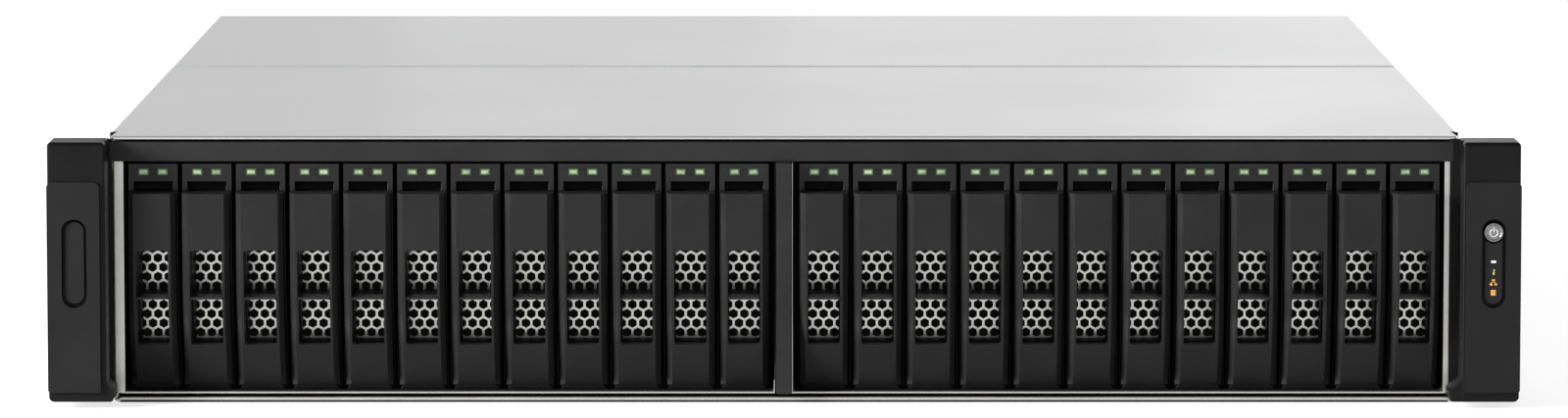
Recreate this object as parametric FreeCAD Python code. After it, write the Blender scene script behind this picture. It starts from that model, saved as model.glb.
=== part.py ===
import FreeCAD, Part
import math
import os
from FreeCAD import Vector

# Rack storage server, two rack units high, with a row of upright drive trays.
# Millimetres: X to the right, Y to the back, Z up. The origin is on the chassis underside,
# on the middle plane, in line with the face of the ears that bears on the rack uprights.

# Trays and their bays
trays_per_side = 12
tray_pitch = 17.69
tray_width = 16.24
tray_height = 75.4
tray_floor_gap = 0.3
tray_roof_gap = 0.3
tray_side_gap = 1.7
front_block_depth = 16.5
rail_length = 103.0
rail_thickness = 2.4
rail_width = 15.9
drive_width = 15.0
drive_length = 100.0
drive_height = 69.85
drive_front_gap = 3.0

# Tray front: lever, window, finger slot and grille
lever_width = 15.6
lever_face_width = 12.2
lever_draft_depth = 5.0
lever_proud = 8.5
lever_gap = 0.4
lever_straight = 24.2
lever_radius = 69.0
lever_flats = 3
skin_tolerance = 0.001
lever_side_gap = 0.22
lever_floor_gap = 0.5
knuckle_radius = 3.0
knuckle_rim = 0.3
knuckle_flats = 2
rim_angles = (100, 180)
tail_rise = 3.9
pocket_gap = 1.0
pin_radius = 1.0
pin_clearance = 0.06
cheek = 0.9
head_height = 6.0
slot_height = 3.3
slot_width = 12.8
slot_depth = 8.0
window_width = 10.6
window_rise = 15.6
window_height = 31.7
shelf_rise = 15.5
shelf = 0.7
shelf_gap = 0.3
grille_sheet = 0.8
grille_border = 1.6
cell_pitch = 5.2
cell_web = 1.0

# Drive cage, centre post and top beam
cage_floor_height = 2.0
cage_sheet = 0.8
cage_bend = 2.0
post_width = 5.07
post_depth = 22.0
post_wall = 1.2
divider_sheet = 0.6
beam_height = 6.0
beam_depth = 10.0
beam_wall = 1.4
beam_cover_gap = 1.9

# Chassis and covers
chassis_depth = 500.0
chassis_wall = 1.2
strip_width = 3.6
front_cover_length = 264.0
front_cover_sheet = 1.2
rear_cover_sheet = 0.8
cover_side_gap = 0.3
cover_flange = 11.0
cover_lip = 2.6
corner_relief = 3.2
cover_seam = 0.5
rail_hole_radius = 2.1
rail_hole_count = 2
rail_hole_spacing = 95.0
rail_hole_start = 195.0
rail_hole_height = 60.0

# Ears and power button
ear_width = 20.135
ear_sheet = 2.0
ear_margin = 1.8
ear_side_gap = 0.5
ear_cover_depth = 17.0
ear_cover_wall = 1.8
ear_inner_slant = 3.4
ear_slant_depth = 8.5
ear_corner = 2.4
ear_panel_proud = 1.4
ear_panel_top = 74.2
ear_panel_bottom = 4.8
ear_leg_length = 46.0
ear_leg_height = 56.0
recess_width = 8.2
recess_length = 29.0
recess_depth = 1.0
recess_middle = 47.4
recess_offset = 1.1
button_radius = 3.1
button_height = 57.6
button_gap = 0.3
button_proud = 0.3
button_rim = 1.0
button_rim_gap = 0.3
button_travel = 1.0
switch_size = 6.0

# Backplane and fans
board_sheet = 1.6
socket_length = 42.0
socket_width = 5.4
socket_depth = 7.5
socket_gap = 0.4
backplane_vents = 2
backplane_vent_width = 97.0
backplane_vent_height = 9.0
backplane_vent_margin = 9.0
fan_count = 3
fan_size = 80.0
fan_depth = 38.0
fan_pitch = 138.0
fan_bore = 37.5
fan_sides = 12
fan_hub = 19.0
fan_tip_gap = 1.0
fan_blades = 5
blade_angle = 16.0
fan_strut = 5.0
fan_wall_gap = 8.0
fan_wall_sheet = 1.2
fan_fit = 0.2

# Main board with its cooler, memory and rear ports
board_width = 318.0
board_length = 285.0
board_height = 8.0
board_rear_gap = 0.6
standoff_size = 6.0
standoff_inset = 12.0
standoff_rear_inset = 36.0
cooler_width = 78.0
cooler_length = 92.0
cooler_height = 52.0
cooler_base = 6.0
cooler_fins = 6
fin_sheet = 3.0
cooler_start = 40.0
memory_count = 3
memory_pitch = 9.0
memory_sheet = 3.2
memory_height = 34.0
port_count = 4
port_pitch = 22.0
port_width = 16.0
port_height = 13.5
port_depth = 22.0
port_wall = 1.8
port_mouth_depth = 14.0
port_fit = 0.3
port_start = 30.0

# Power supplies and rear panel
supply_width = 76.0
supply_height = 39.6
supply_length = 185.0
supply_gap = 0.3
supply_inset = 5.0
supply_shelf = 0.8
inlet_width = 27.0
inlet_height = 20.0
inlet_depth = 14.0
inlet_offset = 18.0
blow_radius = 15.0
blow_sides = 10
blow_offset = 18.0
blow_depth = 8.0
handle_reach = 24.0
handle_height = 30.0
handle_bar = 4.0
vent_count = 4
vent_pitch = 22.0
vent_width = 8.0
vent_height = 34.0
vent_base = 42.0

# Places worked out from the sizes above
post_half = post_width / 2
bay_first = post_half + cage_sheet + tray_side_gap + tray_width / 2
bay_last = bay_first + (trays_per_side - 1) * tray_pitch
bay_edge = bay_last + tray_width / 2 + tray_side_gap
chassis_half = bay_edge + strip_width
inner_half = chassis_half - chassis_wall
panel_half = chassis_half + ear_width
front_y = -ear_sheet
rear_y = front_y + chassis_depth
seam_y = front_y + front_cover_length
cage_floor = cage_floor_height + cage_sheet
tray_bottom = cage_floor + tray_floor_gap
tray_top = tray_bottom + tray_height
cage_roof = tray_top + tray_roof_gap
cage_top = cage_roof + cage_sheet
beam_top = cage_top + beam_height
wall_top = beam_top + beam_cover_gap
chassis_height = wall_top + front_cover_sheet
block_back = front_y + front_block_depth
tray_back = block_back + rail_length
socket_front = tray_back + socket_gap
backplane_y = socket_front + socket_depth
fan_wall_y = backplane_y + board_sheet + fan_wall_gap

# The lever's front is straight at the top and then an arc that ends on the hinge knuckle
lever_depth = lever_proud - lever_gap
lever_front = front_y - lever_proud
lever_rear = front_y - lever_gap
lever_top = tray_top - head_height - slot_height
bend_z = lever_top - lever_straight
bend_y = lever_front + lever_radius
pivot_z = tray_bottom + lever_floor_gap + knuckle_radius
pivot_reach = lever_radius - knuckle_radius
pivot_y = bend_y - math.sqrt(pivot_reach ** 2 - (bend_z - pivot_z) ** 2)
tail_z = pivot_z + tail_rise
tail_y = bend_y - math.sqrt((lever_radius - lever_depth) ** 2 - (bend_z - tail_z) ** 2)
pocket_top = tail_z + pocket_gap
pocket_back = pivot_y + math.hypot(tail_y - pivot_y, tail_rise) + pocket_gap
cheek_inside = tray_width / 2 - cheek
window_bottom = tray_bottom + window_rise
window_top = window_bottom + window_height
shelf_bottom = window_bottom + shelf_rise
shelf_top = shelf_bottom + shelf
tunnel_half = window_width / 2 - shelf_gap

# Ears, boards and supplies
ear_inside = chassis_half + ear_side_gap
ear_front = front_y - ear_cover_depth
panel_front = ear_front - ear_panel_proud
recess_x = (chassis_half + panel_half) / 2 + recess_offset
recess_floor = panel_front + recess_depth
button_front = recess_floor - button_proud
board_back = rear_y - chassis_wall - board_rear_gap
board_front = board_back - board_length
board_right = inner_half - standoff_inset
board_left = board_right - board_width
board_top = board_height + board_sheet
supply_left = -inner_half + supply_inset
supply_right = supply_left + supply_width
supply_step = supply_height + supply_shelf + 2 * supply_gap
supply_bottom = chassis_wall + supply_gap
supply_front = rear_y - supply_length


def block(x0, x1, y0, y1, z0, z1):
    return Part.makeBox(x1 - x0, y1 - y0, z1 - z0, Vector(x0, y0, z0))


def filled(points):
    return Part.Face(Part.makePolygon(points + points[:1]))


def along_x(outline, x0, x1):
    return filled([Vector(x0, y, z) for y, z in outline]).extrude(Vector(x1 - x0, 0, 0))


def along_y(outline, y0, y1):
    return filled([Vector(x, y0, z) for x, z in outline]).extrude(Vector(0, y1 - y0, 0))


def along_z(outline, z0, z1):
    return filled([Vector(x, y, z0) for x, y in outline]).extrude(Vector(0, 0, z1 - z0))


def rod_x(radius, x0, x1, y, z):
    return Part.makeCylinder(radius, x1 - x0, Vector(x0, y, z), Vector(1, 0, 0))


def rod_y(radius, x, y0, y1, z):
    return Part.makeCylinder(radius, y1 - y0, Vector(x, y0, z), Vector(0, 1, 0))


def around(a, b, radius, angle):
    return a + radius * math.cos(angle), b + radius * math.sin(angle)


def polygon(sides, across_flats, a, b):
    corner = across_flats / 2 / math.cos(math.pi / sides)
    return [around(a, b, corner, math.pi * (2 * step + 1) / sides) for step in range(sides)]


def hexagon(across_flats, a, b):
    return [(x, z) for z, x in polygon(6, across_flats, b, a)]


def skin(rows):
    faces = [filled(rows[0]), filled(rows[-1])]
    count = len(rows[0])
    for upper, lower in zip(rows, rows[1:]):
        for i in range(count):
            j = (i + 1) % count
            faces.append(filled([upper[i], upper[j], lower[j], lower[i]]))
    solid = Part.Solid(Part.Shell(faces))
    solid.fix(skin_tolerance, skin_tolerance, skin_tolerance)
    return solid


def moved(shape, x=0.0, z=0.0):
    copy = shape.copy()
    copy.translate(Vector(x, 0, z))
    return copy


def mirrored(shape):
    return shape.mirror(Vector(0, 0, 0), Vector(1, 0, 0))


def save(node, solids):
    shape = solids[0] if len(solids) == 1 else Part.makeCompound(solids)
    shape.exportStep("parts/" + node + ".step")


# Swing lever: a drafted, curved front with an air window, hinged at its foot.
# The bend and the hinge rounds are made of flats, because there are so many levers.
def bend_angles():
    last = math.asin((bend_z - pivot_z) / pivot_reach)
    return [math.pi + last * step / lever_flats for step in range(lever_flats + 1)]


def lever_side():
    front_angle = bend_angles()[-1]
    tail_reach = math.hypot(tail_y - pivot_y, tail_rise)
    tail_angle = 2 * math.pi + math.atan2(tail_rise, tail_y - pivot_y)
    rear_angle = tail_angle - math.acos(knuckle_radius / tail_reach)
    turn = (rear_angle - front_angle) / knuckle_flats
    outline = [(lever_front, lever_top)]
    outline += [around(bend_y, bend_z, lever_radius, angle) for angle in bend_angles()]
    outline += [around(pivot_y, pivot_z, knuckle_radius, front_angle + turn * (step + 1))
                for step in range(knuckle_flats)]
    outline += [(tail_y, tail_z), (lever_rear, bend_z), (lever_rear, lever_top)]
    return along_x(outline, -lever_width / 2, lever_width / 2)


def lever_corner():
    half = lever_width / 2
    face_half = lever_face_width / 2
    wedge = [(face_half, 0), (half, lever_draft_depth), (half, 0)]
    straight = [Vector(x, lever_front + depth, lever_top) for x, depth in wedge]
    rows = [straight]
    for angle in bend_angles():
        row = []
        for x, depth in wedge:
            y, z = around(bend_y, bend_z, lever_radius - depth, angle)
            row.append(Vector(x, y, z))
        rows.append(row)
    foot = [Vector(point.x, point.y, point.z - knuckle_radius) for point in rows[-1]]
    return skin(rows + [foot])


def lever():
    half = lever_width / 2
    inside = cheek_inside - lever_side_gap
    corner = lever_corner()
    bore = hexagon((pin_radius + pin_clearance) * 2, pivot_y, pivot_z)
    cuts = [corner, mirrored(corner), along_x(bore, -half, half)]
    for side in (-1, 1):
        edges = sorted((side * inside, side * lever_width))
        cuts.append(block(edges[0], edges[1], lever_front, pocket_back, 0, pocket_top))
    cuts.append(block(-window_width / 2, window_width / 2, lever_front, pocket_back,
                      window_bottom, window_top))
    return lever_side().cut(cuts).removeSplitter()


# Tray: front block with the air tunnel and hinge cheeks, rails, grille and drive
def slant_y(z):
    slope = (tail_y + lever_gap - front_y) / (bend_z - tail_z)
    return front_y + slope * (bend_z - z)


def carrier():
    rim = knuckle_radius + knuckle_rim
    outline = [(front_y, tray_top), (front_y, bend_z), (slant_y(pivot_z + rim), pivot_z + rim)]
    outline += [around(pivot_y, pivot_z, rim, math.radians(angle)) for angle in rim_angles]
    outline += [(pivot_y, tray_bottom), (block_back, tray_bottom), (block_back, tray_top)]
    body = along_x(outline, -tray_width / 2, tray_width / 2)
    cuts = [block(-cheek_inside, cheek_inside, lever_front, pocket_back, 0, pocket_top),
            block(-slot_width / 2, slot_width / 2, lever_front, front_y + slot_depth,
                  lever_top, lever_top + slot_height),
            block(-tunnel_half, tunnel_half, lever_front, tray_back, window_bottom, window_top)]
    pin_end = cheek_inside + cheek / 2
    rails = [block(-rail_width / 2, rail_width / 2, block_back, tray_back, base, base + rail_thickness)
             for base in (tray_bottom, tray_top - rail_thickness)]
    pin = along_x(hexagon(pin_radius * math.sqrt(3), pivot_y, pivot_z), -pin_end, pin_end)
    shelf_plate = block(-tunnel_half, tunnel_half, lever_front, block_back, shelf_bottom, shelf_top)
    return body.cut(cuts).fuse(rails + [pin, shelf_plate]).removeSplitter()


def grille():
    half = tunnel_half + grille_border
    back = block_back + grille_sheet
    plate = block(-half, half, block_back, back, window_bottom - grille_border, window_top + grille_border)
    cells = []
    for low, high in ((window_bottom, shelf_bottom), (shelf_top, window_top)):
        for side in (-1, 1):
            cell = hexagon(cell_pitch - cell_web, side * cell_pitch / 2, (low + high) / 2)
            cells.append(along_y(cell, block_back, back))
    return plate.cut(cells)


def drive():
    front = block_back + drive_front_gap
    base = tray_bottom + rail_thickness
    return block(-drive_width / 2, drive_width / 2, front, front + drive_length, base, base + drive_height)


def bay_places():
    right = [bay_first + step * tray_pitch for step in range(trays_per_side)]
    return [-x for x in reversed(right)] + right


# Cage of two bent steel channels with dividers, roof sheets, centre post and top beam
def cage_channel():
    near = post_half
    far = bay_edge + cage_sheet
    low = cage_floor_height
    slack = cage_sheet * (math.sqrt(2) - 1)
    outside = [(near, cage_roof), (near, low + cage_bend), (near + cage_bend, low),
               (far - cage_bend, low), (far, low + cage_bend), (far, cage_roof)]
    rise = low + cage_bend + slack
    inside = [(far - cage_sheet, cage_roof), (far - cage_sheet, rise),
              (far - cage_bend - slack, cage_floor), (near + cage_bend + slack, cage_floor),
              (near + cage_sheet, rise), (near + cage_sheet, cage_roof)]
    return along_y(outside + inside, front_y + chassis_wall, backplane_y)


def cage_half():
    solids = [cage_channel()]
    solids.append(block(post_half, bay_edge + cage_sheet, front_y + beam_depth, backplane_y,
                        cage_roof, cage_top))
    for step in range(trays_per_side - 1):
        middle = bay_first + (step + 0.5) * tray_pitch
        solids.append(block(middle - divider_sheet / 2, middle + divider_sheet / 2,
                            block_back, backplane_y, cage_floor, cage_roof))
    return solids


def centre_post():
    inner = post_half - post_wall
    back = front_y + post_depth
    web = front_y + post_wall
    outline = [(-post_half, front_y), (post_half, front_y), (post_half, back), (inner, back),
               (inner, web), (-inner, web), (-inner, back), (-post_half, back)]
    return along_z(outline, chassis_wall, cage_top)


def top_beam():
    back = front_y + beam_depth
    web = front_y + beam_wall
    low = cage_top + beam_wall
    high = beam_top - beam_wall
    outline = [(front_y, cage_top), (back, cage_top), (back, low), (web, low),
               (web, high), (back, high), (back, beam_top), (front_y, beam_top)]
    return along_x(outline, -chassis_half, chassis_half)


def drive_cage():
    right = cage_half()
    return right + [mirrored(solid) for solid in right] + [centre_post(), top_beam()]


# Chassis: folded pan with front strips, the rear panel, and the bent sheet of the supply bay
def rear_openings():
    supply_top = supply_bottom + supply_step + supply_height
    cuts = [block(supply_left - supply_gap, supply_right + supply_gap, supply_front, rear_y,
                  chassis_wall, supply_top + supply_gap)]
    ports_right = port_start + (port_count - 1) * port_pitch + port_width
    cuts.append(block(port_start - port_fit, ports_right + port_fit, board_back, rear_y,
                      board_top - port_fit, board_top + port_height + port_fit))
    for step in range(vent_count):
        left = port_start + step * vent_pitch
        cuts.append(block(left, left + vent_width, board_back, rear_y, vent_base, vent_base + vent_height))
    return cuts


def chassis_pan():
    outline = [(-chassis_half, 0), (chassis_half, 0), (chassis_half, wall_top), (inner_half, wall_top),
               (inner_half, chassis_wall), (-inner_half, chassis_wall), (-inner_half, wall_top),
               (-chassis_half, wall_top)]
    pan = along_y(outline, front_y, rear_y)
    added = []
    cuts = [block(-chassis_half, chassis_half, front_y, front_y + beam_depth, cage_top, wall_top)]
    for side in (-1, 1):
        strip = sorted((side * bay_edge, side * inner_half))
        added.append(block(strip[0], strip[1], front_y, front_y + chassis_wall, chassis_wall, cage_top))
        wall = sorted((side * inner_half, side * chassis_half))
        for step in range(rail_hole_count):
            y = rail_hole_start + step * rail_hole_spacing
            cuts.append(rod_x(rail_hole_radius, wall[0], wall[1], y, rail_hole_height))
    return pan.fuse(added).cut(cuts).removeSplitter()


def rear_panel():
    sheet = block(-inner_half, inner_half, rear_y - chassis_wall, rear_y, chassis_wall, wall_top)
    return sheet.cut(rear_openings()).removeSplitter()


def supply_bay():
    shelf_z = supply_bottom + supply_height + supply_gap
    inside = supply_right + supply_gap
    outside = inside + supply_shelf
    outline = [(-inner_half, shelf_z), (inside, shelf_z), (inside, chassis_wall), (outside, chassis_wall),
               (outside, shelf_z + supply_shelf), (-inner_half, shelf_z + supply_shelf)]
    return along_y(outline, supply_front, rear_y - chassis_wall)


def cover_half(sheet):
    return chassis_half + cover_side_gap + sheet


def cover(sheet, y0, y1, flange_y0):
    outside = cover_half(sheet)
    inside = outside - sheet
    low = chassis_height - cover_flange
    under = chassis_height - sheet
    top = block(-outside, outside, y0, y1, under, chassis_height)
    flanges = [block(inside, outside, flange_y0, y1, low, under),
               block(-outside, -inside, flange_y0, y1, low, under)]
    return top.fuse(flanges).removeSplitter()


def front_top_cover():
    shell = cover(front_cover_sheet, front_y, seam_y, front_y + corner_relief)
    outside = cover_half(front_cover_sheet)
    lip = block(-outside + corner_relief, outside - corner_relief, front_y, front_y + front_cover_sheet,
                chassis_height - cover_lip, chassis_height - front_cover_sheet)
    notches = []
    for side in (-1, 1):
        corner = [(side * outside, front_y), (side * outside, front_y + corner_relief),
                  (side * (outside - corner_relief), front_y)]
        notches.append(along_z(corner, chassis_height - cover_flange, chassis_height))
    return shell.fuse(lip).cut(notches).removeSplitter()


def rear_top_cover():
    return cover(rear_cover_sheet, seam_y + cover_seam, rear_y, seam_y + cover_seam)


# Ears: steel bracket with a hollow moulded cover, built on the right and mirrored
def ear_bracket():
    leg = chassis_half + ear_sheet
    middle = chassis_height / 2
    flange = block(chassis_half, panel_half, front_y, 0, ear_margin, chassis_height - ear_margin)
    notch = block(chassis_half, cover_half(front_cover_sheet) + ear_side_gap, front_y, 0,
                  chassis_height - cover_flange - ear_side_gap, chassis_height)
    side = block(chassis_half, leg, 0, ear_leg_length,
                 middle - ear_leg_height / 2, middle + ear_leg_height / 2)
    return flange.cut(notch).fuse(side).removeSplitter()


def ear_plan(inset, front):
    inside = ear_inside + inset
    outside = panel_half - inset
    return [(inside, front_y), (inside, front + ear_slant_depth), (inside + ear_inner_slant, front),
            (outside - ear_corner, front), (outside, front + ear_corner), (outside, front_y)]


def obround(y0, y1):
    half = recess_width / 2
    reach = (recess_length - recess_width) / 2
    middle = block(recess_x - half, recess_x + half, y0, y1, recess_middle - reach, recess_middle + reach)
    ends = [rod_y(half, recess_x, y0, y1, recess_middle + side * reach) for side in (-1, 1)]
    return middle.fuse(ends).removeSplitter()


def ear_cover():
    top = chassis_height - ear_margin
    shell = along_z(ear_plan(0, ear_front), ear_margin, top)
    panel = along_z(ear_plan(0, panel_front), ear_panel_bottom, ear_panel_top)
    hollow = along_z(ear_plan(ear_cover_wall, ear_front + ear_cover_wall),
                     ear_margin + ear_cover_wall, top - ear_cover_wall)
    return shell.fuse(panel).cut([hollow, obround(panel_front, recess_floor)]).removeSplitter()


def power_button():
    rim_front = ear_front + ear_cover_wall + button_rim_gap
    rim = button_radius + button_rim
    cap = rod_y(button_radius, recess_x, button_front, rim_front, button_height)
    plate = block(recess_x - rim, recess_x + rim, rim_front, rim_front + button_rim,
                  button_height - rim, button_height + rim)
    return cap.fuse(plate).removeSplitter()


def button_switch():
    front = ear_front + ear_cover_wall + button_rim_gap + button_rim + button_travel + button_gap
    half = switch_size / 2
    return block(recess_x - half, recess_x + half, front, front_y,
                 button_height - half, button_height + half)


def right_ear():
    hole = rod_y(button_radius + button_gap, recess_x, panel_front, front_y, button_height)
    return [ear_bracket(), ear_cover().cut(hole).removeSplitter(), button_switch()]


def left_ear():
    return [mirrored(ear_bracket()), mirrored(ear_cover())]


# Backplane with one socket for each drive, and the wall of fans behind it
def backplane():
    board = block(-inner_half, inner_half, backplane_y, backplane_y + board_sheet, cage_floor, wall_top)
    middle = (tray_bottom + tray_top) / 2
    step = 2 * inner_half / (backplane_vents + 1)
    vent_top = wall_top - backplane_vent_margin
    vents = []
    for number in range(backplane_vents):
        x = -inner_half + (number + 1) * step
        vents.append(block(x - backplane_vent_width / 2, x + backplane_vent_width / 2,
                           backplane_y, backplane_y + board_sheet,
                           vent_top - backplane_vent_height, vent_top))
    sockets = [block(x - socket_width / 2, x + socket_width / 2, socket_front, backplane_y,
                     middle - socket_length / 2, middle + socket_length / 2) for x in bay_places()]
    return [board.cut(vents)] + sockets


def fan_places():
    return [(number - (fan_count - 1) / 2) * fan_pitch for number in range(fan_count)]


def fan(x):
    middle = chassis_wall + fan_fit + fan_size / 2
    half = fan_size / 2
    back = fan_wall_y + fan_depth
    frame = block(x - half, x + half, fan_wall_y, back, middle - half, middle + half)
    frame = frame.cut(along_y(polygon(fan_sides, 2 * fan_bore, x, middle), fan_wall_y, back))
    strut = block(x - fan_bore, x + fan_bore, back - fan_strut, back,
                  middle - fan_strut / 2, middle + fan_strut / 2)
    tip = fan_bore - fan_tip_gap
    half_blade = math.radians(blade_angle) / 2
    outline = []
    for number in range(fan_blades):
        angle = 2 * math.pi * number / fan_blades
        outline += [around(x, middle, fan_hub, angle - half_blade),
                    around(x, middle, tip, angle - half_blade),
                    around(x, middle, tip, angle + half_blade),
                    around(x, middle, fan_hub, angle + half_blade)]
    rotor = along_y(outline, fan_wall_y + fan_strut, back - fan_strut)
    return [frame, strut, rotor]


def fan_wall():
    half = fan_size / 2 + fan_fit
    y0 = fan_wall_y + fan_depth / 2
    plate = block(-inner_half, inner_half, y0, y0 + fan_wall_sheet, chassis_wall, wall_top)
    holes = [block(x - half, x + half, y0, y0 + fan_wall_sheet, chassis_wall, chassis_wall + 2 * half)
             for x in fan_places()]
    solids = [plate.cut(holes)]
    for x in fan_places():
        solids += fan(x)
    return solids


# Main board on hexagonal standoffs, with a finned cooler, memory and rear ports
def cooler(x):
    low = board_top
    left = x - cooler_width / 2
    gap = (cooler_width - cooler_fins * fin_sheet) / (cooler_fins - 1)
    outline = [(left + cooler_width, low), (left, low)]
    for number in range(cooler_fins):
        fin = left + number * (fin_sheet + gap)
        foot = low + cooler_base
        top = low + cooler_height
        start = [] if number == 0 else [(fin, foot)]
        end = [] if number == cooler_fins - 1 else [(fin + fin_sheet, foot)]
        outline += start + [(fin, top), (fin + fin_sheet, top)] + end
    return along_y(outline, board_front + cooler_start, board_front + cooler_start + cooler_length)


def port(number):
    left = port_start + number * port_pitch
    right = left + port_width
    shell = block(left, right, rear_y - port_depth, rear_y, board_top, board_top + port_height)
    mouth = block(left + port_wall, right - port_wall, rear_y - port_mouth_depth, rear_y,
                  board_top + port_wall, board_top + port_height - port_wall)
    return shell.cut(mouth)


def mainboard():
    solids = [block(board_left, board_right, board_front, board_back, board_height, board_top)]
    for x in (board_left + standoff_inset, board_right - standoff_inset):
        for y in (board_front + standoff_inset, board_back - standoff_rear_inset):
            outline = [(x + a, y + b) for a, b in hexagon(standoff_size, 0, 0)]
            solids.append(along_z(outline, chassis_wall, board_height))
    x = (board_left + board_right) / 2
    front = board_front + cooler_start
    solids.append(cooler(x))
    for side in (-1, 1):
        for number in range(memory_count):
            edge = x + side * (cooler_width / 2 + (number + 1) * memory_pitch)
            solids.append(block(edge - memory_sheet / 2, edge + memory_sheet / 2,
                                front, front + cooler_length, board_top, board_top + memory_height))
    return solids + [port(number) for number in range(port_count)]


# Power supply: closed case with inlet recess, blower recess and pull handle at the rear
def power_supply():
    middle = supply_bottom + supply_height / 2
    case = block(supply_left, supply_right, supply_front, rear_y,
                 supply_bottom, supply_bottom + supply_height)
    inlet_x = supply_right - inlet_offset
    inlet = block(inlet_x - inlet_width / 2, inlet_x + inlet_width / 2, rear_y - inlet_depth, rear_y,
                  middle - inlet_height / 2, middle + inlet_height / 2)
    ring = polygon(blow_sides, 2 * blow_radius, supply_left + blow_offset, middle)
    blower = along_y(ring, rear_y - blow_depth, rear_y)
    handle_x = (supply_left + blow_offset + blow_radius + inlet_x - inlet_width / 2) / 2
    low = middle - handle_height / 2
    high = middle + handle_height / 2
    reach = rear_y + handle_reach
    inner = reach - handle_bar
    outline = [(rear_y, low), (reach, low), (reach, high), (rear_y, high), (rear_y, high - handle_bar),
               (inner, high - handle_bar), (inner, low + handle_bar), (rear_y, low + handle_bar)]
    handle = along_x(outline, handle_x - handle_bar / 2, handle_x + handle_bar / 2)
    return case.cut([inlet, blower]).fuse(handle).removeSplitter()


os.makedirs("parts", exist_ok=True)
save("chassis_base", [chassis_pan(), rear_panel(), supply_bay()])
save("front_top_cover", [front_top_cover()])
save("rear_top_cover", [rear_top_cover()])
save("drive_cage", drive_cage())
save("left_ear", left_ear())
save("right_ear", right_ear())
save("power_button", [power_button()])
save("backplane", backplane())
save("fan_wall", fan_wall())
save("mainboard", mainboard())
supply = power_supply()
save("power_supply_1", [supply])
save("power_supply_2", [moved(supply, z=supply_step)])
tray_solids = [carrier(), grille(), drive()]
lever_solid = lever()
for number, x in enumerate(bay_places(), start=1):
    save("drive_tray_%02d" % number, [moved(solid, x=x) for solid in tray_solids])
    save("tray_lever_%02d" % number, [moved(lever_solid, x=x)])
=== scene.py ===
import math
import bmesh
import bpy
from mathutils import Matrix, Vector


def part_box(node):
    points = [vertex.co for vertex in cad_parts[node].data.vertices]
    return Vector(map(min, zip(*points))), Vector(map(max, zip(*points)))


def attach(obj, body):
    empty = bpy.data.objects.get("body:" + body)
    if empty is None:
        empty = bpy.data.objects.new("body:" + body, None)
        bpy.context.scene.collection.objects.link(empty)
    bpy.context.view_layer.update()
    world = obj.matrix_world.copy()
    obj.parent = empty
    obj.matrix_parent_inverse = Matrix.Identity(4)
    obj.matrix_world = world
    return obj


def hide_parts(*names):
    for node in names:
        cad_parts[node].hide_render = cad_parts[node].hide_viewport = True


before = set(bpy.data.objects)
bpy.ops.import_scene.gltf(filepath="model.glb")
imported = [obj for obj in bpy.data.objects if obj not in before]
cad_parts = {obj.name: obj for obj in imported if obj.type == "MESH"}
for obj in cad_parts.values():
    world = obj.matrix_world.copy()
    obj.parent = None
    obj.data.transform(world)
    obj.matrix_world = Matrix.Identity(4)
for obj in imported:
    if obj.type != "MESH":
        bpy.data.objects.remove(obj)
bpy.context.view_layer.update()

# Chassis pan: one sheet of zinc-coated steel, folded up at both sides with rounded folds. Narrow
# flanges turn inwards beside the drive bays, and the walls have a cut for the beam and screw holes
# for the slide rails. A rolled hem and a bright lip in two halves finish the floor's front edge.
mm = 0.001
axis_turns = ((0, math.pi / 2, 0), (math.pi / 2, 0, 0), (0, 0, 0))


def deselect():
    """Leaves no piece selected."""
    bpy.ops.object.select_all(action="DESELECT")


def only(piece):
    """Leaves one piece selected and active."""
    deselect()
    piece.select_set(True)
    bpy.context.view_layer.objects.active = piece


def choose(piece, kind, test):
    """Opens a piece for editing and selects the points, edges or faces that pass a test."""
    if bpy.context.mode != "OBJECT":
        bpy.ops.object.mode_set(mode="OBJECT")
    only(piece)
    bpy.ops.object.mode_set(mode="EDIT")
    bpy.ops.mesh.select_mode(type=kind)
    bpy.ops.mesh.select_all(action="DESELECT")
    mesh = bmesh.from_edit_mesh(piece.data)
    mesh.normal_update()
    for part in {"VERT": mesh.verts, "EDGE": mesh.edges, "FACE": mesh.faces}[kind]:
        points = [part] if kind == "VERT" else part.verts
        at = sum((point.co for point in points), Vector()) / len(points)
        if test(at / mm, part):
            part.select_set(True)
    mesh.select_flush_mode()
    bmesh.update_edit_mesh(piece.data)


def close():
    """Goes back from editing to the finished piece."""
    bpy.ops.object.mode_set(mode="OBJECT")


def push(x, y, z):
    """Extrudes what is selected by a step in millimetres."""
    bpy.ops.mesh.extrude_region_move(TRANSFORM_OT_translate={"value": (x * mm, y * mm, z * mm)})


def shift(x, y, z):
    """Moves what is selected by a step in millimetres."""
    bpy.ops.transform.translate(value=(x * mm, y * mm, z * mm))


def round_edges(piece, radius, segments, test):
    """Rounds the edges of a piece that pass a test."""
    choose(piece, "EDGE", test)
    bpy.ops.mesh.bevel(offset=radius * mm, segments=segments, affect="EDGES")
    close()


def settle(piece, name):
    """Names a new primitive and puts its place and turn into its mesh."""
    piece.name = name
    piece.data.name = name
    bpy.ops.object.transform_apply(location=True, rotation=True, scale=True)
    return piece


def block(name, low, high):
    """A cube stretched between two corners."""
    deselect()
    middle = [(a + b) / 2 * mm for a, b in zip(low, high)]
    bpy.ops.mesh.primitive_cube_add(size=1, location=middle)
    piece = bpy.context.object
    piece.scale = [(b - a) * mm for a, b in zip(low, high)]
    return settle(piece, name)


def beside(name, side, inner, outer, low, high):
    """A block on one side of the unit, from one distance to another, between (y, z) corners."""
    left, right = sorted((side * inner, side * outer))
    return block(name, (left, *low), (right, *high))


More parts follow.
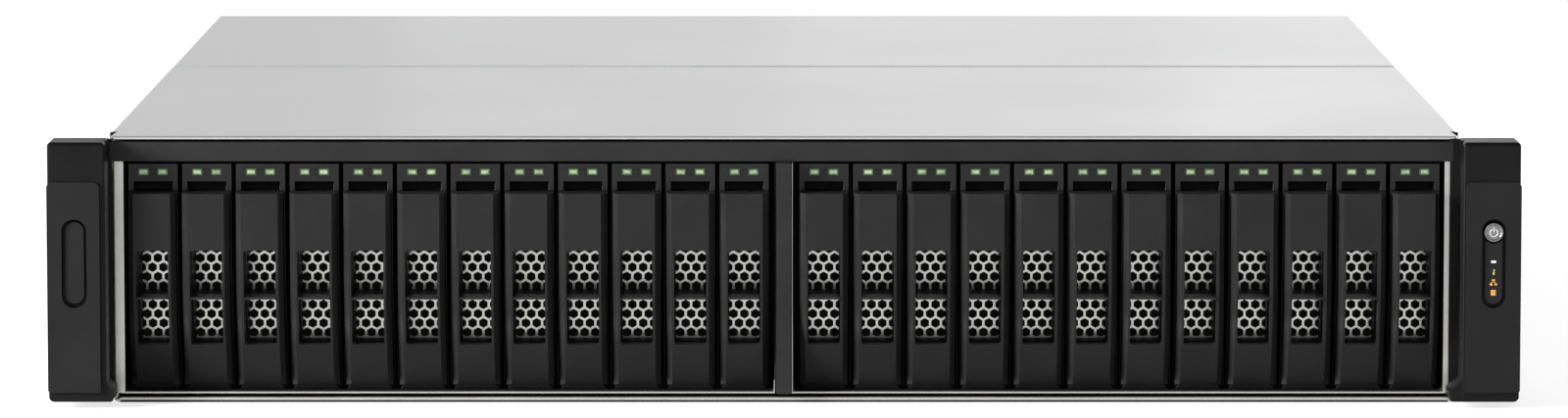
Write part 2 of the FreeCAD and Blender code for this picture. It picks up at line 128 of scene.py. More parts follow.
def rod(name, radius, start, end, sides=32):
    """A cylinder between two points that differ along one axis."""
    axis = max(range(3), key=lambda i: abs(end[i] - start[i]))
    deselect()
    bpy.ops.mesh.primitive_cylinder_add(
        vertices=sides, radius=radius * mm, depth=abs(end[axis] - start[axis]) * mm,
        location=[(a + b) / 2 * mm for a, b in zip(start, end)], rotation=axis_turns[axis])
    return settle(bpy.context.object, name)


def join(name, pieces):
    """Makes one piece of several."""
    only(pieces[0])
    for piece in pieces:
        piece.select_set(True)
    if len(pieces) > 1:
        bpy.ops.object.join()
    pieces[0].name = name
    pieces[0].data.name = name
    return pieces[0]


def apply(piece, kind, **settings):
    """Adds a modifier with its settings and applies it."""
    only(piece)
    modifier = piece.modifiers.new(kind.lower(), kind)
    for key, value in settings.items():
        setattr(modifier, key, value)
    bpy.ops.object.modifier_apply(modifier=modifier.name)


def cut(piece, *tools):
    """Cuts the joined shape of one or more tools out of a piece."""
    tool = join("tool", tools)
    apply(piece, "BOOLEAN", object=tool, operation="DIFFERENCE", solver="EXACT", use_self=True)
    bpy.data.objects.remove(tool)


def thicken(piece, wall):
    """Gives a folded sheet its thickness, inwards."""
    apply(piece, "SOLIDIFY", thickness=wall * mm, offset=-1.0, use_even_offset=True)


def shade(piece):
    """Shades a piece smooth up to the angle of a real edge."""
    only(piece)
    bpy.ops.object.shade_smooth_by_angle(angle=math.radians(35))


def soften(piece, width, segments):
    """Rounds the sharp edges a little and shades the piece."""
    apply(piece, "BEVEL", width=width * mm, segments=segments, limit_method="ANGLE",
          angle_limit=math.radians(32), use_clamp_overlap=True)
    shade(piece)
    apply(piece, "WEIGHTED_NORMAL", keep_sharp=True)


def ramp(nodes, start, end, low=0.0, high=1.0):
    """A shader node that maps one span of values to another."""
    node = nodes.new("ShaderNodeMapRange")
    for key, value in (("From Min", start), ("From Max", end), ("To Min", low), ("To Max", high)):
        node.inputs[key].default_value = value
    return node


def maths(nodes, operation):
    """A shader node that works on two values."""
    node = nodes.new("ShaderNodeMath")
    node.operation = operation
    return node


def blend(nodes):
    """A shader node that mixes two colours."""
    node = nodes.new("ShaderNodeMix")
    node.data_type = "RGBA"
    return node


def wire(source, output, target, socket):
    """Links an output of one shader node to a socket of another."""
    source.id_data.links.new(source.outputs[output], target.inputs[socket])


def surface_group():
    """Colour that drifts over a surface, worn edges and a fine grain, as one node group."""
    group = bpy.data.node_groups.new("surface", "ShaderNodeTree")
    for kind, names in (("NodeSocketColor", ("Colour", "Drift colour", "Worn colour")),
                        ("NodeSocketVector", ("Stretch",)),
                        ("NodeSocketFloat", ("Grain", "Drift", "Smooth", "Rough", "Wear"))):
        for name in names:
            group.interface.new_socket(name, in_out="INPUT", socket_type=kind)
    for name, kind in (("Colour", "NodeSocketColor"), ("Roughness", "NodeSocketFloat"),
                       ("Height", "NodeSocketFloat")):
        group.interface.new_socket(name, in_out="OUTPUT", socket_type=kind)
    nodes = group.nodes
    given, out = nodes.new("NodeGroupInput"), nodes.new("NodeGroupOutput")
    place, stretched = nodes.new("ShaderNodeTexCoord"), nodes.new("ShaderNodeVectorMath")
    stretched.operation = "MULTIPLY"
    wire(place, "Object", stretched, 0)
    wire(given, "Stretch", stretched, 1)
    grain, drift = nodes.new("ShaderNodeTexNoise"), nodes.new("ShaderNodeTexNoise")
    grain.inputs["Detail"].default_value = 3
    drift.inputs["Detail"].default_value = 4
    wire(stretched, 0, grain, "Vector")
    wire(place, "Object", drift, "Vector")
    wire(given, "Grain", grain, "Scale")
    wire(given, "Drift", drift, "Scale")

    both, spread, tone = maths(nodes, "MULTIPLY"), ramp(nodes, 0.12, 0.42), blend(nodes)
    wire(grain, "Fac", both, 0)
    wire(drift, "Fac", both, 1)
    wire(both, 0, spread, "Value")
    wire(spread, "Result", tone, "Factor")
    wire(given, "Colour", tone, "A")
    wire(given, "Drift colour", tone, "B")

    shape, edge = nodes.new("ShaderNodeNewGeometry"), ramp(nodes, 0.52, 0.66)
    rubbed, amount, worn = maths(nodes, "MULTIPLY"), maths(nodes, "MULTIPLY"), blend(nodes)
    wire(shape, "Pointiness", edge, "Value")
    wire(edge, "Result", rubbed, 0)
    wire(drift, "Fac", rubbed, 1)
    wire(rubbed, 0, amount, 0)
    wire(given, "Wear", amount, 1)
    wire(amount, 0, worn, "Factor")
    wire(tone, "Result", worn, "A")
    wire(given, "Worn colour", worn, "B")

    dull = ramp(nodes, 0.3, 0.7)
    wire(drift, "Fac", dull, "Value")
    wire(given, "Smooth", dull, "To Min")
    wire(given, "Rough", dull, "To Max")
    wire(worn, "Result", out, "Colour")
    wire(dull, "Result", out, "Roughness")
    wire(grain, "Fac", out, "Height")
    return group


surface = surface_group()


def finish(name, colour, drift_colour, worn, smooth, rough, grain, drift, bump, wear,
           metal=0.0, stretch=(1, 1, 1), gloss=0.5):
    """A material of the shared surface effect with its own colours, gloss and grain."""
    material = bpy.data.materials.new(name)
    material.use_nodes = True
    nodes = material.node_tree.nodes
    shader = nodes["Principled BSDF"]
    shader.inputs["Metallic"].default_value = metal
    shader.inputs["Specular IOR Level"].default_value = gloss
    effect = nodes.new("ShaderNodeGroup")
    effect.node_tree = surface
    for key, value in (("Colour", (*colour, 1)), ("Drift colour", (*drift_colour, 1)),
                       ("Worn colour", (*worn, 1)), ("Stretch", stretch), ("Grain", grain),
                       ("Drift", drift), ("Smooth", smooth), ("Rough", rough), ("Wear", wear)):
        effect.inputs[key].default_value = value
    relief = nodes.new("ShaderNodeBump")
    relief.inputs["Strength"].default_value = bump
    relief.inputs["Distance"].default_value = 0.2 * mm
    wire(effect, "Colour", shader, "Base Color")
    wire(effect, "Roughness", shader, "Roughness")
    wire(effect, "Height", relief, "Height")
    wire(relief, "Normal", shader, "Normal")
    return material


def fit(piece, body, slot, material, *nodes):
    """Dresses a piece, sets it on its body and hides the solids it stands for."""
    piece.data.materials.clear()
    piece.data.materials.append(material)
    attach(piece, body)
    if nodes:
        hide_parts(*nodes)


pan_half, pan_front, pan_rear, pan_top, pan_sheet, pan_fold = 221.165, -2.0, 498.0, 87.5, 1.2, 1.4
beam_floor, corner_back, hem_setback = 80.05, 15.0, 1.3
flange_width, flange_foot, flange_slot, flange_fold = 3.6, 3.15, 2.05, 0.7
rail_hole_radius, rail_hole_z, rail_hole_places = 2.1, 60, (195, 290)
zinc = finish("zinc steel", (0.5, 0.495, 0.482), (0.57, 0.565, 0.55), (0.75, 0.75, 0.74),
              smooth=0.3, rough=0.42, grain=900, drift=26, bump=0.06, wear=0.4, metal=0.9,
              stretch=(1, 0.2, 1))
pan = block("chassis_pan", (-pan_half, pan_front, 0), (pan_half, pan_rear, pan_top))
choose(pan, "FACE", lambda at, face: face.normal.z > 0.5 or abs(face.normal.y) > 0.5)
bpy.ops.mesh.delete(type="FACE")
round_edges(pan, pan_fold, 4, lambda at, edge: at.z < 0.1 and abs(at.x) > 200)


def wall_front(at, edge):
    """The upright front edges of the pan's side walls."""
    return abs(at.x) > pan_half - 0.1 and at.y < pan_front + 0.1 and at.z > 20


for side in (-1, 1):
    choose(pan, "EDGE", lambda at, edge: side * at.x > 0 and wall_front(at, edge))
    push(-side * flange_width, 0, 0)
choose(pan, "VERT", lambda at, point: abs(at.x) < pan_half - 3 and at.y < 0 and 1 < at.z < 5)
shift(0, 0, flange_foot - pan_fold)
round_edges(pan, flange_fold, 3, wall_front)
choose(pan, "VERT", lambda at, point: at.y < pan_front + 0.1 and at.z < 0.5)
shift(0, hem_setback, 0)
close()
thicken(pan, pan_sheet)
tools = [block("tool", (-230, pan_front - 1, beam_floor), (230, corner_back, pan_top + 1))]
for side in (-1, 1):
    tools.append(beside("tool", side, 214, 223, (pan_front - 1, flange_slot),
                        (pan_front + 1.4, flange_foot)))
    for y in rail_hole_places:
        tools.append(rod("tool", rail_hole_radius, (side * 219, y, rail_hole_z),
                         (side * 222, y, rail_hole_z)))
cut(pan, *tools)
hem_half, hem_low, hem_high, hem_depth = 219.4, 0.75, 1.8, 1.5
hem = block("front_hem", (-hem_half, pan_front, hem_low),
            (hem_half, pan_front + hem_depth, hem_high))
lip_front, lip_back, lip_low, lip_high = pan_front + 1.1, pan_front + 1.75, 2.85, 3.5
lip_end, lip_gap_left, lip_gap_right, lip_turn_top = 218.3, -2.95, 2.54, 7.5
lip = join("front_lip", [
    block("lip", (-lip_end, lip_front, lip_low), (lip_gap_left, lip_back, lip_high)),
    block("lip", (lip_gap_right, lip_front, lip_low), (lip_end, lip_back, lip_high)),
    block("turn", (lip_gap_left - 0.35, lip_front, lip_high - 0.1),
          (lip_gap_left, lip_back, lip_turn_top))])
for piece, width, segments in ((pan, 0.12, 1), (hem, 0.3, 2), (lip, 0.12, 1)):
    soften(piece, width, segments)
    fit(piece, "chassis", "galvanised_steel", zinc, "chassis_base")

# Rear panel: a flat zinc-coated sheet riveted between the side walls, stamped out for the power
# supplies, the network ports and four upright air slots with round ends.
panel_half, panel_sheet = 219.9, 1.2
supply_opening = (-215.265, 490, 1.1), (-138.665, 500, 82.4)
port_opening = (29.7, 490, 9.3), (112.3, 500, 23.4)
slot_count, slot_first, slot_pitch, slot_half, slot_low, slot_high = 4, 34, 22, 4, 42, 76


def obround(name, x, half, low, high, front, back):
    """A bar with an upright obround outline, made of a rod whose upper half is moved up."""
    piece = rod(name, half, (x, front, low + half), (x, back, low + half), 40)
    choose(piece, "VERT", lambda at, point: at.z > low + half + 0.01)
    shift(0, 0, high - low - 2 * half)
    close()
    return piece


panel = block("rear_panel", (-panel_half, pan_rear - panel_sheet, pan_sheet),
              (panel_half, pan_rear, pan_top))
tools = [block("tool", *supply_opening), block("tool", *port_opening)]
for number in range(slot_count):
    tools.append(obround("tool", slot_first + slot_pitch * number, slot_half, slot_low, slot_high,
                         490, 500))
cut(panel, *tools)
soften(panel, 0.15, 1)
fit(panel, "chassis", "galvanised_steel", zinc, "chassis_base")

# Supply bay: one zinc-coated sheet with a single fold, riveted to the left wall and the rear panel.
# Its shelf carries the upper power supply, and its wall stands beside the lower one.
bay_left, bay_right, bay_front, bay_rear = -219.9, -137.865, 313, 496.7
shelf_z, bay_wall, bay_sheet, bay_fold = 41.8, 40.5, 0.8, 1.0


def sheet(name, low, high):
    """A plane between two corners, flat along the axis in which they agree."""
    flat = min(range(3), key=lambda i: abs(high[i] - low[i]))
    deselect()
    middle = [(a + b) / 2 * mm for a, b in zip(low, high)]
    bpy.ops.mesh.primitive_plane_add(size=1, rotation=axis_turns[flat], location=middle)
    piece = bpy.context.object
    bpy.ops.object.transform_apply(location=False, rotation=True, scale=False)
    piece.scale = [1 if i == flat else (high[i] - low[i]) * mm for i in range(3)]
    return settle(piece, name)


bay = sheet("supply_bay", (bay_left, bay_front, shelf_z), (bay_right, bay_rear, shelf_z))
choose(bay, "EDGE", lambda at, edge: at.x > bay_right - 0.1)
push(0, 0, -bay_wall)
round_edges(bay, bay_fold, 3, lambda at, edge: at.x > bay_right - 0.1 and at.z > shelf_z - 0.5)
thicken(bay, bay_sheet)
soften(bay, 0.12, 1)
fit(bay, "chassis", "galvanised_steel", zinc, "chassis_base")

# Drive cage: two bent steel channels, coloured black, one on each side of the centre post. Each
# has a floor, two side walls with rounded folds and a roof sheet that starts behind the beam.
cage_floor, cage_roof, cage_sheet, cage_fold = 3.5, 79.5, 0.6, 2.0
cage_front, cage_back, beam_back, post_half, bay_edge = -0.2, 125.4, 8.0, 2.535, 218.365
# Real black coat on the beam and the post; on the dividers and the hem strip it is painted shade.
black_coat_and_shade = finish("black coat and painted shade", (0.013, 0.013, 0.0135), (0.018, 0.018, 0.0185),
                    (0.06, 0.06, 0.06), smooth=0.42, rough=0.52, grain=2600, drift=40, bump=0.12,
                    wear=0.3, gloss=0.16)


def every(at, part):
    """The test that all points, edges or faces pass."""
    return True


def outward(piece, way):
    """Turns the faces of a sheet so that its largest one looks a given way."""
    choose(piece, "FACE", every)
    bpy.ops.mesh.normals_make_consistent(inside=False)
    close()
    if max(piece.data.polygons, key=lambda face: face.area).normal.dot(Vector(way)) < 0:
        choose(piece, "FACE", every)
        bpy.ops.mesh.flip_normals()
        close()


for side, name in ((-1, "left"), (1, "right")):
    ends = sorted((side * post_half, side * bay_edge))
    channel = sheet("drive_cage_" + name, (ends[0], cage_front, cage_floor - cage_sheet),
                    (ends[1], cage_back, cage_floor - cage_sheet))
    for end in ends:
        choose(channel, "EDGE", lambda at, edge: abs(at.x - end) < 0.1)
        push(0, 0, cage_roof - cage_floor + cage_sheet)
    outward(channel, (0, 0, -1))
    round_edges(channel, cage_fold, 4, lambda at, edge: at.z < cage_floor
                and min(abs(at.x - end) for end in ends) < 0.1)
    thicken(channel, cage_sheet)
    roof = block("roof", (ends[0], beam_back, cage_roof),
                 (ends[1], cage_back, cage_roof + cage_sheet))
    cage = join("drive_cage_" + name, [channel, roof])
    soften(cage, 0.15, 1)
    fit(cage, "chassis", "cage_steel", black_coat_and_shade, "drive_cage")

# Front frame: a beam and a centre post of black coated steel, channels open to the rear that frame
# the two cages. A bright steel strip stands beside the post. Under the hem lies a black strip:
# it is painted shadow, a dark line put where there is only the shade under the hem.
# Thin sheets, set into floor and roof, divide the bays behind the tray fronts. Their black is
# painted shade: it stands for the shade between the trays, on what would be plated steel.
def hollow(piece, wall, depth):
    """Sinks the back of a piece, but for a wall around it."""
    choose(piece, "FACE", lambda at, face: face.normal.y > 0.5)
    bpy.ops.mesh.inset(thickness=wall * mm)
    push(0, -depth, 0)
    close()


strip = block("centre_strip", (2.54, -7.5, 3.6), (2.86, -0.3, 79.9))
soften(strip, 0.1, 1)
fit(strip, "chassis", "cage_steel", zinc, "drive_cage")
# The hem strip is painted shadow: a black piece for the shade under the hem.
under_half, under_low, under_high = 219.2, 0.06, 0.66
under = block("hem_shadow_strip", (-under_half, pan_front + 0.25, under_low),
              (under_half, pan_front + 1.25, under_high))
soften(under, 0.1, 1)
fit(under, "chassis", "cage_steel", black_coat_and_shade, "chassis_base")
for name, low, high, wall in (("top_beam", (-222.1, -2.9, 80.1), (220.5, beam_back, 86.55), 1.4),
                              ("centre_post", (-2.5, -8.8, 3.6), (2.5, 20, 80.0), 1.2)):
    bar = block(name, low, high)
    hollow(bar, wall, high[1] - low[1] - wall)
    soften(bar, 0.35, 2)
    fit(bar, "chassis", "cage_steel", black_coat_and_shade, "drive_cage")
tray_middles = [sum(corner.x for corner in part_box("drive_tray_%02d" % number)) / 2 / mm
                for number in range(1, 25)]
divider_half, divider_front = 0.3, 14.5
for side, name in ((-1, "left"), (1, "right")):
    middles = [x for x in tray_middles if side * x > 0]
    dividers = []
    for a, b in zip(middles, middles[1:]):
        x = (a + b) / 2
        dividers.append(block("divider", (x - divider_half, divider_front, cage_floor),
                              (x + divider_half, cage_back, cage_roof)))
    # The dividers' black colour is painted shade for the dark gaps between the trays.
    dividers = join("cage_dividers_" + name, dividers)
    soften(dividers, 0.12, 1)
    fit(dividers, "chassis", "cage_steel", black_coat_and_shade, "drive_cage")

# Backplane, fan wall and main board: green boards and black moulded fans, screwed into the pan.
# They are hidden inside, so they keep their solids. What stands on the main board is bare metal.
board_top = 9.75
board_green = finish("green solder mask", (0.012, 0.07, 0.03), (0.02, 0.1, 0.045), (0.5, 0.4, 0.2),
                     smooth=0.3, rough=0.45, grain=1400, drift=220, bump=0.2, wear=0.2)
fan_black = finish("black fan plastic", (0.012, 0.012, 0.012), (0.02, 0.02, 0.02),
                   (0.05, 0.05, 0.05), smooth=0.45, rough=0.6, grain=1800, drift=60, bump=0.15,
                   wear=0.2)


def opened(material):
    """A material's nodes, its shader and its surface effect."""
    nodes = material.node_tree.nodes
    effect = next(node for node in nodes if node.type == "GROUP")
    return nodes, nodes["Principled BSDF"], effect


board_loaded = board_green.copy()
board_loaded.name = "main board with metal ports"
nodes, shader, effect = opened(board_loaded)
place, split = nodes.new("ShaderNodeTexCoord"), nodes.new("ShaderNodeSeparateXYZ")
above, tone = maths(nodes, "GREATER_THAN"), blend(nodes)
above.inputs[1].default_value = board_top * mm
tone.inputs["B"].default_value = (0.55, 0.55, 0.54, 1)
wire(place, "Object", split, 0)
wire(split, "Z", above, 0)
wire(above, 0, tone, "Factor")
wire(effect, "Colour", tone, "A")
wire(tone, "Result", shader, "Base Color")
wire(above, 0, shader, "Metallic")
for node, material in (("backplane", board_green), ("mainboard", board_loaded),
                       ("fan_wall", fan_black)):
    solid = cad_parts[node]
    solid.data.materials.clear()
    solid.data.materials.append(material)

# Drive tray, carrier: a moulded black front with a head for the lights, a finger slot under it, a
# slanted foot with two hinge lugs and their pin, an air tunnel with a shelf, and two rails for the
# drive. Behind the front face the plastic is duller, as it comes from the mould.
tray_half, tray_front, tray_back, tray_low, tray_top = 8.12, -2, 14.5, 3.6, 79.3
foot_bend, foot_setback, pivot_y, pivot_z = 46, 13.0, 4.821, 6.6
tunnel_half, window_low, window_high = 5, 19.65, 51.35
head_gloss, inner_gloss, inner_roughness, dull_from, dull_to = 0.18, 0.07, 0.22, -1.5, 0.5
finger_slot, head_line = ((-6.4, -5, 70.35), (6.4, 6, 73.45)), ((-9, -5, 70.2), (9, 0.6, 70.35))
hinge_room, light_recess = ((-9, -5, 0), (9, 11.2, 11.5)), ((-4.6, -3, 75.85), (4.6, -1.8, 77.35))
tray_plastic = finish("black tray plastic", (0.008, 0.008, 0.0084), (0.0115, 0.0115, 0.012),
                      (0.05, 0.05, 0.05), smooth=0.24, rough=0.32, grain=3200, drift=60, bump=0.05,
                      wear=0.15, gloss=head_gloss)
nodes, shader, effect = opened(tray_plastic)
place, split = nodes.new("ShaderNodeTexCoord"), nodes.new("ShaderNodeSeparateXYZ")
duller = maths(nodes, "ADD")
wire(place, "Object", split, 0)
wire(effect, "Roughness", duller, 0)
for at_front, inside, node, socket in ((head_gloss, inner_gloss, shader, "Specular IOR Level"),
                                       (0.0, inner_roughness, duller, 1)):
    depth = ramp(nodes, dull_from * mm, dull_to * mm, at_front, inside)
    wire(split, "Y", depth, "Value")
    wire(depth, "Result", node, socket)
wire(duller, 0, shader, "Roughness")


def slice_faces(piece, test, place, normal, clear=False):
    """Cuts the faces that pass a test along a plane, and can clear what lies beyond it."""
    choose(piece, "FACE", test)
    bpy.ops.mesh.bisect(plane_co=[value * mm for value in place], plane_no=normal,
                        clear_outer=clear)


carrier = block("tray_carrier", (-tray_half, tray_front, tray_low),
                (tray_half, tray_back, tray_top))
slice_faces(carrier, every, (0, 0, foot_bend), (0, 0, 1))
choose(carrier, "VERT", lambda at, point: at.y < 0 and at.z < 5)
shift(0, foot_setback, 0)
close()
tunnel = block("tool", (-tunnel_half, -20, window_low), (tunnel_half, 20, window_high))
round_edges(tunnel, 0.8, 3, lambda at, edge: abs(abs(at.x) - tunnel_half) < 0.1 and abs(at.y) < 1)
cut(carrier, tunnel)
for corners in (finger_slot, head_line, hinge_room, light_recess):
    cut(carrier, block("tool", *corners))
soften(carrier, 0.18, 1)
extras = [carrier, block("shelf", (-5.05, -10.2, 35.2), (5.05, tray_back, 35.9))]
lug_radius, lug_inner, lug_outer, pin_radius, pin_half = 1.1, 5.2, 6.3, 0.7, 7.4
for side in (-1, 1):
    ends = sorted((side * lug_inner, side * lug_outer))
    extras.append(rod("lug", lug_radius, (ends[0], pivot_y, pivot_z),
                      (ends[1], pivot_y, pivot_z), 20))
    extras.append(block("arm", (ends[0], pivot_y, pivot_z - lug_radius),
                        (ends[1], 12, pivot_z + lug_radius)))
extras.append(rod("pin", pin_radius, (-pin_half, pivot_y, pivot_z),
                  (pin_half, pivot_y, pivot_z), 16))
rail_half, rail_start, rail_end, rail_height = 7.95, 14.4, 117.5, 1.9
for base in (tray_low, 76.3):
    rail = block("rail", (-rail_half, rail_start, base), (rail_half, rail_end, base + rail_height))
    round_edges(rail, 0.9, 3, lambda at, edge: abs(at.x) < 1 and at.y > rail_end - 0.5)
    extras.append(rail)
carrier = join("tray_carrier", extras)
shade(carrier)

# Status lights: two clear green light guides, snapped into a narrow recess in each tray's head. A
# thin film of lit plastic around each guide is the light that spills over its edge.
def glow(name, colour, strength):
    """A lit window: a smooth dark base that shines by itself, brighter in its grain."""
    material = finish(name, [value * 0.1 for value in colour], colour, colour, smooth=0.2,
                      rough=0.3, grain=700, drift=90, bump=0.02, wear=0.0)
    nodes, shader, effect = opened(material)
    shine = blend(nodes)
    shine.inputs["A"].default_value = (*colour, 1)
    shine.inputs["B"].default_value = (*[min(1, value * 1.25) for value in colour], 1)
    wire(effect, "Height", shine, "Factor")
    wire(shine, "Result", shader, "Emission Color")
    shader.inputs["Emission Strength"].default_value = strength
    return material


light_core = glow("green light guide", (0.31, 0.4, 0.23), 0.5)
light_rim = glow("green light spill", (0.028, 0.06, 0.018), 1.0)
light_half, light_low, light_high, light_back, light_x = 1.22, 75.96, 77.24, -1.3, 3.13
lights, spills = [], []
for x in (-light_x, light_x):
    for name, grow, y, into in (("guide", 0.0, -2.06, lights), ("spill", 0.45, -2.03, spills)):
        window = block(name, (x - light_half - grow, y, light_low - grow),
                       (x + light_half + grow, light_back, light_high + grow))
        soften(window, 0.12, 2)
        into.append(window)
lights = join("tray_lights", lights)
spills = join("tray_light_spill", spills)

# Grille: a plate of zinc-coated steel punched with upright hexagons, which closes the air tunnel
# at the back of the tray's front. The cells are 2.83 mm across, 3.59 mm apart.
cell_pitch, cell_width, row_step, first_row = 3.59, 2.83, 3.11, 21.4
grille_half, grille_low, grille_high, grille_sheet = 6.6, 19.7, 53, 0.8
grille_steel = finish("grille steel", (0.53, 0.525, 0.51), (0.62, 0.615, 0.6), (0.7, 0.7, 0.68),
                      smooth=0.16, rough=0.24, grain=1200, drift=80, bump=0.05, wear=0.3,
                      metal=0.75)
rings = []
for column, row in ((0, 0), (0.5, 1)):
    deselect()
    bpy.ops.mesh.primitive_circle_add(
        vertices=6, radius=cell_pitch / math.sqrt(3) * mm, fill_type="NGON",
        rotation=(math.pi / 2, 0, 0),
        location=((column - 3) * cell_pitch * mm, tray_back * mm,
                  (first_row + (row - 2) * row_step) * mm))
    ring = settle(bpy.context.object, "cell")
    choose(ring, "FACE", every)
    bpy.ops.mesh.inset(thickness=(cell_pitch - cell_width) / 2 * mm)
    bpy.ops.mesh.delete(type="FACE")
    close()
    rings.append(ring)
grille = join("tray_grille", rings)
for step in ((cell_pitch * mm, 0, 0), (0, 0, 2 * row_step * mm)):
    apply(grille, "ARRAY", count=7, use_relative_offset=False, use_constant_offset=True,
          constant_offset_displace=step)
choose(grille, "VERT", every)
bpy.ops.mesh.remove_doubles(threshold=0.05 * mm)
for place, normal in (((-grille_half, 0, 0), (-1, 0, 0)), ((grille_half, 0, 0), (1, 0, 0)),
                      ((0, 0, grille_low), (0, 0, -1)), ((0, 0, grille_high), (0, 0, 1))):
    slice_faces(grille, every, place, normal, clear=True)
outward(grille, (0, -1, 0))
thicken(grille, grille_sheet)
border = block("border", (-grille_half, tray_back + 0.02, 18.1),
               (grille_half, tray_back + 0.78, 20.05))
grille = join("tray_grille", [grille, border])

# Drive: a closed 15 mm case of dark anodised aluminium, screwed between the rails, with a shallow
# panel on each side and its connector at the back. All five pieces of a tray go into each bay.
drive_case = finish("dark anodised case", (0.006, 0.006, 0.0063), (0.009, 0.009, 0.0095),
                    (0.1, 0.1, 0.1), smooth=0.45, rough=0.6, grain=1500, drift=40, bump=0.06,
                    wear=0.3, metal=0.3, gloss=0.15)
drive = block("tray_drive", (-7.5, 17.5, 5.5), (7.5, 117.4, 75.35))
choose(drive, "FACE", lambda at, face: abs(face.normal.x) > 0.5)
bpy.ops.mesh.inset(thickness=3 * mm, depth=-0.4 * mm, use_individual=True)
hollow(drive, 3.5, 4)
soften(drive, 0.4, 2)


def twin(master, name, place, turn=Matrix()):
    """A copy of a piece with its own mesh, turned and then moved by a step in millimetres."""
    copy = master.copy()
    copy.data = master.data.copy()
    copy.name = copy.data.name = name
    bpy.context.scene.collection.objects.link(copy)
    copy.data.transform(Matrix.Translation([value * mm for value in place]) @ turn)
    return copy


tray_pieces = ((carrier, tray_plastic), (lights, light_core), (spills, light_rim),
               (grille, grille_steel), (drive, drive_case))
for number, x in enumerate(tray_middles, start=1):
    node = "drive_tray_%02d" % number
    for master, material in tray_pieces:
        piece = twin(master, "%s_%02d" % (master.name, number), (x, 0, 0))
        fit(piece, node, "tray_plastic", material, node)
for master, material in tray_pieces:
    bpy.data.objects.remove(master)

# Swing lever: a moulded black shell with chamfered sides, straight at the top and then curved back
# to the hinge at its foot, which ends in a turned-back flap. An air window with rounded corners and
# walls of its own goes through it, in line with the tray's tunnel. Each tray has one on its pin.
lever_plastic = finish("black lever plastic", (0.0125, 0.0125, 0.013), (0.0165, 0.0165, 0.0172),
                       (0.06, 0.06, 0.06), smooth=0.38, rough=0.48, grain=3000, drift=70, bump=0.14,
                       wear=0.35, gloss=0.14)
lever_front, lever_top, lever_half, lever_wall = -10.5, 70.15, 6.1, 1.2
bend_z, bend_radius, bend_angle = 46.0, 69.0, 34.3
chamfer_width, chamfer_depth, side_depth, window_half, window_depth = 1.7, 2.3, 5.8, 5.3, 6.3
lever = sheet("swing_lever", (-lever_half, lever_front, bend_z),
              (lever_half, lever_front, lever_top))
for side in (-1, 1):
    choose(lever, "EDGE", lambda at, edge: side * at.x > lever_half - 0.1)
    push(side * chamfer_width, chamfer_depth, 0)
    push(0, side_depth, 0)
choose(lever, "EDGE", lambda at, edge: at.z < bend_z + 0.1)
bpy.ops.mesh.spin(steps=14, angle=math.radians(bend_angle), axis=(-1, 0, 0),
                  center=(0, (lever_front + bend_radius) * mm, bend_z * mm))
close()
choose(lever, "VERT", every)
bpy.ops.mesh.remove_doubles(threshold=0.01 * mm)
choose(lever, "EDGE", lambda at, edge: at.z > lever_top - 0.1)
bpy.ops.mesh.edge_face_add()
# The foot: its edge goes down, its middle steps back into the flap and its side corners follow.
choose(lever, "EDGE", lambda at, edge: len(edge.link_faces) == 1 and at.z < 11.5)
push(0, 0, -1.9)
choose(lever, "VERT", lambda at, point: abs(at.x) < lever_half + 0.1 and at.z < 5.5)
shift(0, 1.07, 0.33)
choose(lever, "EDGE", lambda at, edge: at.z < 5.8 and abs(at.x) < 1)
push(0, 1.65, -1.8)
for side in (-1, 1):
    for test, step in (
            (lambda at, point: abs(side * at.x - lever_half) < 0.1 and at.z < 4,
             (side * 1.3, 0, 0)),
            (lambda at, point: side * at.x > 7.7 and 6.3 < at.z < 6.7, (0, 0, -1.2)),
            (lambda at, point: side * at.x > 7.7 and 9.6 < at.z < 9.9, (0, 0, -3.5))):
        choose(lever, "VERT", test)
        shift(*step)
for place, normal in (((0, 0, window_low), (0, 0, 1)), ((0, 0, window_high), (0, 0, 1)),
                      ((-window_half, 0, 0), (1, 0, 0)), ((window_half, 0, 0), (1, 0, 0))):
    slice_faces(lever, lambda at, face: abs(at.x) < 6 and face.normal.z < 0.9, place, normal)
choose(lever, "FACE", lambda at, face: abs(at.x) < window_half - 0.1
       and window_low < at.z < window_high)
bpy.ops.mesh.delete(type="FACE")
choose(lever, "EDGE", lambda at, edge: len(edge.link_faces) == 1 and abs(at.x) < window_half + 0.1
       and window_low - 0.1 < at.z < window_high + 0.1)
push(0, window_depth, 0)
round_edges(lever, 1.0, 3, lambda at, edge: abs(abs(at.x) - window_half) < 0.05
            and abs(edge.verts[0].co.y - edge.verts[1].co.y) > 5 * mm
            and min(abs(at.z - window_low), abs(at.z - window_high)) < 0.1)
outward(lever, (0, -1, 0))
thicken(lever, lever_wall)
soften(lever, 0.22, 2)
for number, x in enumerate(tray_middles, start=1):
    node = "tray_lever_%02d" % number
    piece = twin(lever, "swing_lever_%02d" % number, (x, 0, 0))
    fit(piece, node, "lever_plastic", lever_plastic, node)
bpy.data.objects.remove(lever)

# Ears: a steel bracket with a flange for the rack, a leg on the chassis wall, a tongue that closes
# the gap beside it and a black tab behind the cover's corner, which is painted shade: it stands for
# the cover's side flange in shadow. Over it snaps a moulded cover: a plain cap with a lid and a
# foot web, and a raised panel with an obround recess and a plate at its bottom.
ear_plastic = finish("black ear plastic", (0.0085, 0.0085, 0.0088), (0.0115, 0.0115, 0.012),
                     (0.06, 0.06, 0.06), smooth=0.4, rough=0.52, grain=2800, drift=50, bump=0.16,
                     wear=0.25, gloss=0.14)
